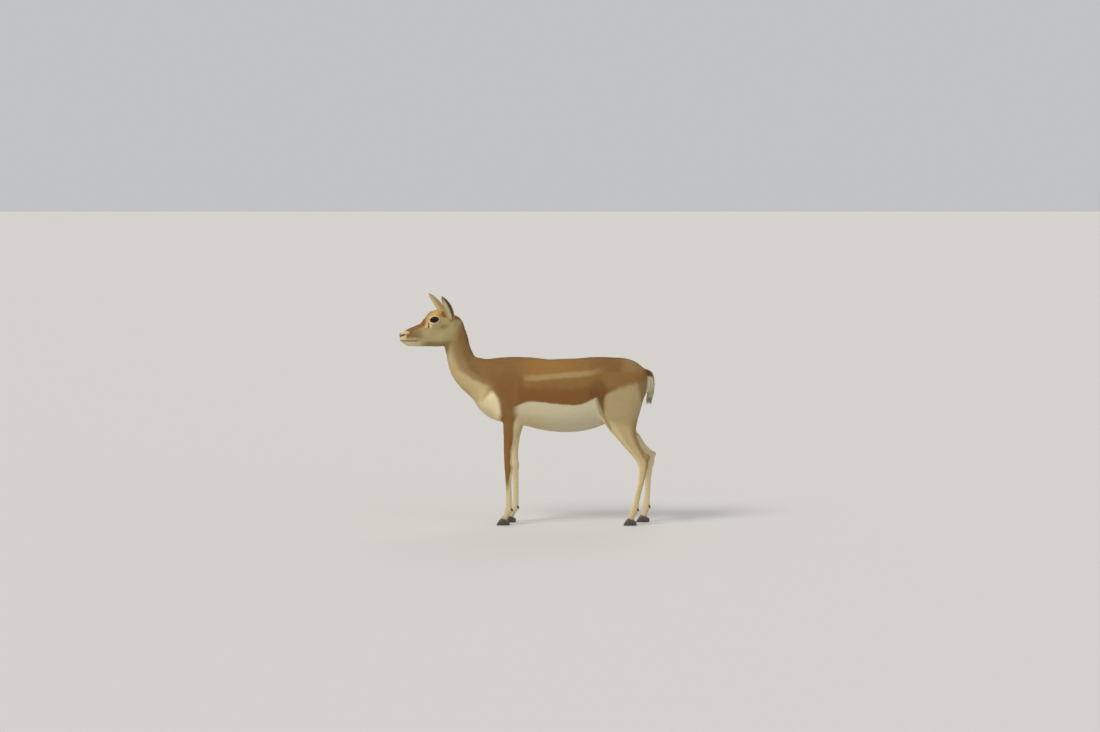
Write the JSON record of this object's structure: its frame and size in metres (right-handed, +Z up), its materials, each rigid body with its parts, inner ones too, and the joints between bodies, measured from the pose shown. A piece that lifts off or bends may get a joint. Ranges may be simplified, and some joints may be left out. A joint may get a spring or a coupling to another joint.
{
  "type": "female blackbuck animal model",
  "caption": "Life-size still model of a female blackbuck antelope standing on its four feet, head raised and turned a little to its left, with cupped ears and a hanging tail.",
  "frame": {"origin": "middle of the model's box, at floor height under the soles of the hooves", "axes": "-X toward the nose, -Y toward the animal's left side, +Z up"},
  "size_m": [1.1608, 0.2442, 1.0469],
  "materials": {
    "coat": "short fur, matte",
    "ear": "thin short fur, matte",
    "eye": "wet gloss",
    "hoof": "horn, low sheen",
    "tail": "longer hair, matte"
  },
  "bodies": {
    "root": {"dewclaw_foreleg_left_inner": "hoof", "dewclaw_foreleg_left_outer": "hoof", "dewclaw_foreleg_right_inner": "hoof", "dewclaw_foreleg_right_outer": "hoof", "dewclaw_hindleg_left_inner": "hoof", "dewclaw_hindleg_left_outer": "hoof", "dewclaw_hindleg_right_inner": "hoof", "dewclaw_hindleg_right_outer": "hoof", "ear_left": "ear", "ear_right": "ear", "eye_left": "eye", "eye_right": "eye", "head": "coat", "hoof_foreleg_left_inner": "hoof", "hoof_foreleg_left_outer": "hoof", "hoof_foreleg_right_inner": "hoof", "hoof_foreleg_right_outer": "hoof", "hoof_hindleg_left_inner": "hoof", "hoof_hindleg_left_outer": "hoof", "hoof_hindleg_right_inner": "hoof", "hoof_hindleg_right_outer": "hoof", "lower_foreleg_left": "coat", "lower_foreleg_right": "coat", "lower_hindleg_left": "coat", "lower_hindleg_right": "coat", "neck": "coat", "tail": "tail", "torso": "coat", "upper_foreleg_left": "coat", "upper_foreleg_right": "coat", "upper_hindleg_left": "coat", "upper_hindleg_right": "coat"}
  },
  "joints": []
}
